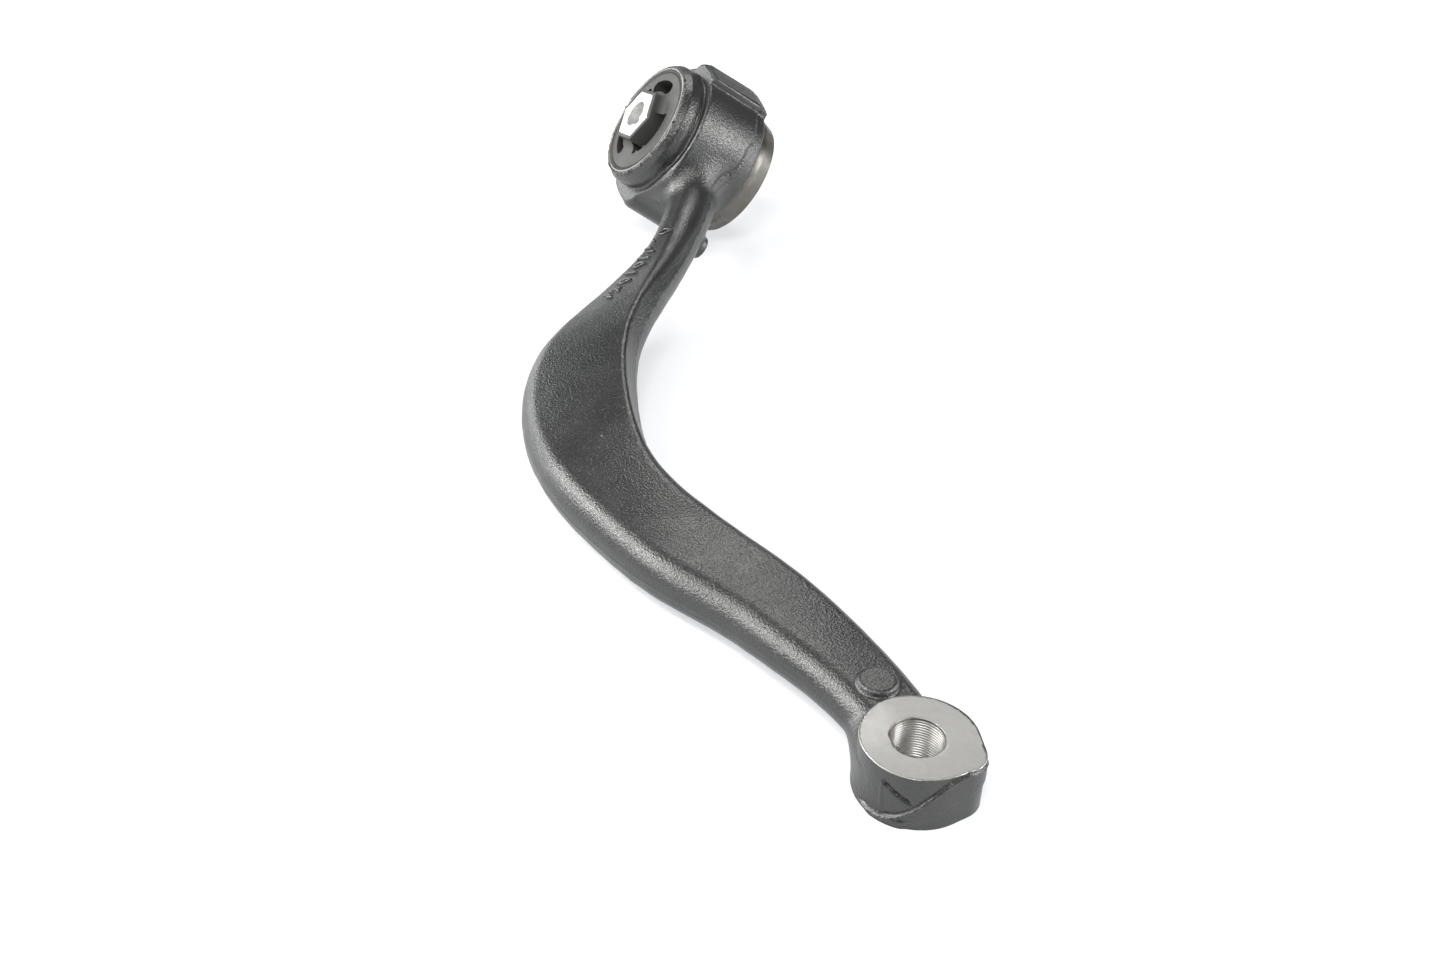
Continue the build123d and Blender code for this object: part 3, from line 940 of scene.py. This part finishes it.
def arc_slot(x, y, radius, middle, spread, width):
    """A round-ended slot bent round the centre."""
    a = np.arctan2(y, x) - np.radians(middle)
    a = (a + np.pi) % (2 * np.pi) - np.pi
    a = np.clip(a, -np.radians(spread) / 2, np.radians(spread) / 2) + np.radians(middle)
    return np.hypot(x - radius * np.cos(a), y - radius * np.sin(a)) - width / 2


def rubber_field(p):
    x, y, off = p.T
    r = np.hypot(x, y)
    high = np.abs(off)
    jacket = hex2(x, y, JACKET_FLATS)
    crown = RUBBER_HALF - 0.7 * bell(r - 30.2, 0.45)
    body = round_common(r - (SLEEVE_R - 0.05), high - crown, 0.3)
    boot = round_common(jacket, high - JACKET_HALF, 0.5)
    d = round_union(body, boot, JACKET_FILLET)
    pocket = r - POCKET_R
    wedge_a, wedge_b = np.radians(POCKET_MIDDLE + POCKET_HALF), np.radians(POCKET_MIDDLE - POCKET_HALF)
    pocket = np.maximum(pocket, -(x * np.sin(wedge_a) - y * np.cos(wedge_a)))
    pocket = np.maximum(pocket, x * np.sin(wedge_b) - y * np.cos(wedge_b))
    pocket = np.maximum(pocket, -jacket)
    for spec in POCKET_SLOTS:
        pocket = np.minimum(pocket, arc_slot(x, y, *spec))
    for tab in np.radians(FLASH_TABS):                # flash left on the pocket's outer wall
        away = np.hypot(x - FLASH_TAB_AT * np.cos(tab), y - FLASH_TAB_AT * np.sin(tab))
        pocket = np.maximum(pocket, FLASH_TAB_R - away)
    pocket = round_common(pocket, POCKET_FLOOR - high, 0.8)
    d = np.maximum(d, -pocket)
    d = np.maximum(d, -round_common(hex2(x, y, CORE_FLATS), high - 60, 0.01))
    return d


grid = [
    spaced((-33, 33, 0.5)),
    spaced((-33, 33, 0.5)),
    spaced((-41, -15, 0.5), (-15, 15, 3.0), (15, 41, 0.5)),
]
points, quads = contour(grid, rubber_field)
middle = points[quads].mean(1)
facing = np.degrees(np.arctan2(middle[:, 1], middle[:, 0]))
sector = np.round((facing - CORE_TURN) / 60).astype(int) % 6
# The rubber is cut into six pieces, one across each flat of the core. INNER_AT sets a point on each flat's
# middle line, OUTER_AT is not used, and no piece is made to turn with the core.
INNER_AT, OUTER_AT = JACKET_FLATS / 2 + 0.3, 22.4
for k in range(6):
    mine = quads[sector == k]
    used, local = np.unique(mine, return_inverse=True)
    piece = make_mesh(f"bush_rubber_sector_{k + 1}", from_bush(points[used]), local.reshape(-1, 4), sharp=45)
    set_materials(piece, [RUBBER])
    flat = np.radians(60 * k + CORE_TURN)
    direction = np.array([np.cos(flat), np.sin(flat), 0.0])
    end = from_bush(direction * INNER_AT) * MM
    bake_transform(piece)
    if k == 0:
        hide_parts("bush_rubber_spring")

# ---------------------------------------------------------------- hidden inner pieces
hidden = {
    "bush_window_cage": cage_steel(),
    "track_shell_near": track_plastic(),
    "damping_fluid_near": glycol(),
}
hidden["track_shell_far"] = hidden["track_shell_near"]
hidden["damping_fluid_far"] = hidden["damping_fluid_near"]
for name, material in hidden.items():
    mesh = frame["nodes"][name].data
    mesh.materials.clear()
    mesh.materials.append(material)

# ---------------------------------------------------------------- floor, light, camera
floor_z = cad_box[0][2] - 0.05 * MM                  # just clear of the eye's flat underside
floor_mesh = bpy.data.meshes.new("studio_floor")
wide = 6.0
floor_corners = [(x, y, floor_z) for x, y in ((-wide, -wide), (wide, -wide), (wide, wide), (-wide, wide))]
floor_mesh.from_pydata(floor_corners, [], [(0, 1, 2, 3)])
floor = bpy.data.objects.new("studio_floor", floor_mesh)
bpy.context.scene.collection.objects.link(floor)
paper = Nodes("studio_paper")
white = paper.mix(paper.noise(3, 2), (0.40, 0.405, 0.415), (0.42, 0.425, 0.435))
paper.finish(Base_Color=white, Roughness=0.9, Emission_Color=white, Emission_Strength=1.25)
floor_mesh.materials.append(paper.material)

WORLD_AS_LIGHT, WORLD_AS_SEEN = 0.12, 0.95
world = bpy.data.worlds.new("studio")
bpy.context.scene.world = world
world.use_nodes = True
backdrop = world.node_tree.nodes["Background"]
backdrop.inputs["Color"].default_value = (0.95, 0.97, 1.0, 1)
seen = world.node_tree.nodes.new("ShaderNodeLightPath")     # pale to look at, dim as a source of light
dim = world.node_tree.nodes.new("ShaderNodeMapRange")
dim.inputs["To Min"].default_value = WORLD_AS_LIGHT
dim.inputs["To Max"].default_value = WORLD_AS_SEEN
world.node_tree.links.new(seen.outputs["Is Camera Ray"], dim.inputs["Value"])
world.node_tree.links.new(dim.outputs["Result"], backdrop.inputs["Strength"])


def softbox(name, direction, power, colour):
    """A square lamp that faces the middle of the object."""
    light = bpy.data.lights.new(name, "AREA")
    light.shape = "RECTANGLE"
    light.size, light.size_y = LAMP_SIZE
    light.energy = power
    light.color = colour
    lamp = bpy.data.objects.new(name, light)
    aim = (cad_box[0] + cad_box[1]) / 2
    way = Vector(direction).normalized()
    lamp.location = aim + way * LAMP_DISTANCE
    lamp.rotation_euler = way.to_track_quat("Z", "Y").to_euler()
    bpy.context.scene.collection.objects.link(lamp)


LAMP_DISTANCE, LAMP_SIZE = 1.8, (0.55, 0.55)
LOW_TINT, HIGH_TINT = (0.97, 0.98, 1.0), (1.0, 0.99, 0.97)
# Bearing from +X and height, in degrees, then watts.
LAMPS = [
    (0, 8, 6.3), (120, 8, 6.0), (150, 8, 6.5), (210, 8, 3.5), (300, 8, 3.9), (330, 8, 4.3), (72, 44, 8.5),
    (154, 32, 24.0), (190, 32, 14.5), (334, 32, 22.0), (174, 56, 9.0), (250, 60, 15.0),
]
for bearing, height, power in LAMPS:
    flat, rise = np.radians(bearing), np.radians(height)
    way = (np.cos(flat) * np.cos(rise), np.sin(flat) * np.cos(rise), np.sin(rise))
    tint = LOW_TINT if height < 20 else HIGH_TINT
    softbox(f"softbox_{bearing}_{height}", way, power, tint)

LENS_MM = 49.83
CAMERA_AT = (-0.2259, -0.5382, 0.5439)
CAMERA_AHEAD, CAMERA_UP = (0.2036, 0.7854, -0.5845), (0.0733, 0.5832, 0.809)
camera_data = bpy.data.cameras.new("camera")
camera_data.lens = LENS_MM
camera_data.sensor_width = 36.0
camera = bpy.data.objects.new("camera", camera_data)
forward = Vector(CAMERA_AHEAD).normalized()
level = Vector(CAMERA_UP)
right = forward.cross(level).normalized()
high = right.cross(forward)
camera.matrix_world = Matrix((
    (right.x, high.x, -forward.x, CAMERA_AT[0]),
    (right.y, high.y, -forward.y, CAMERA_AT[1]),
    (right.z, high.z, -forward.z, CAMERA_AT[2]),
    (0, 0, 0, 1),
))
bpy.context.scene.collection.objects.link(camera)
bpy.context.scene.camera = camera
bpy.context.scene.view_settings.view_transform = "Standard"

bpy.context.view_layer.update()
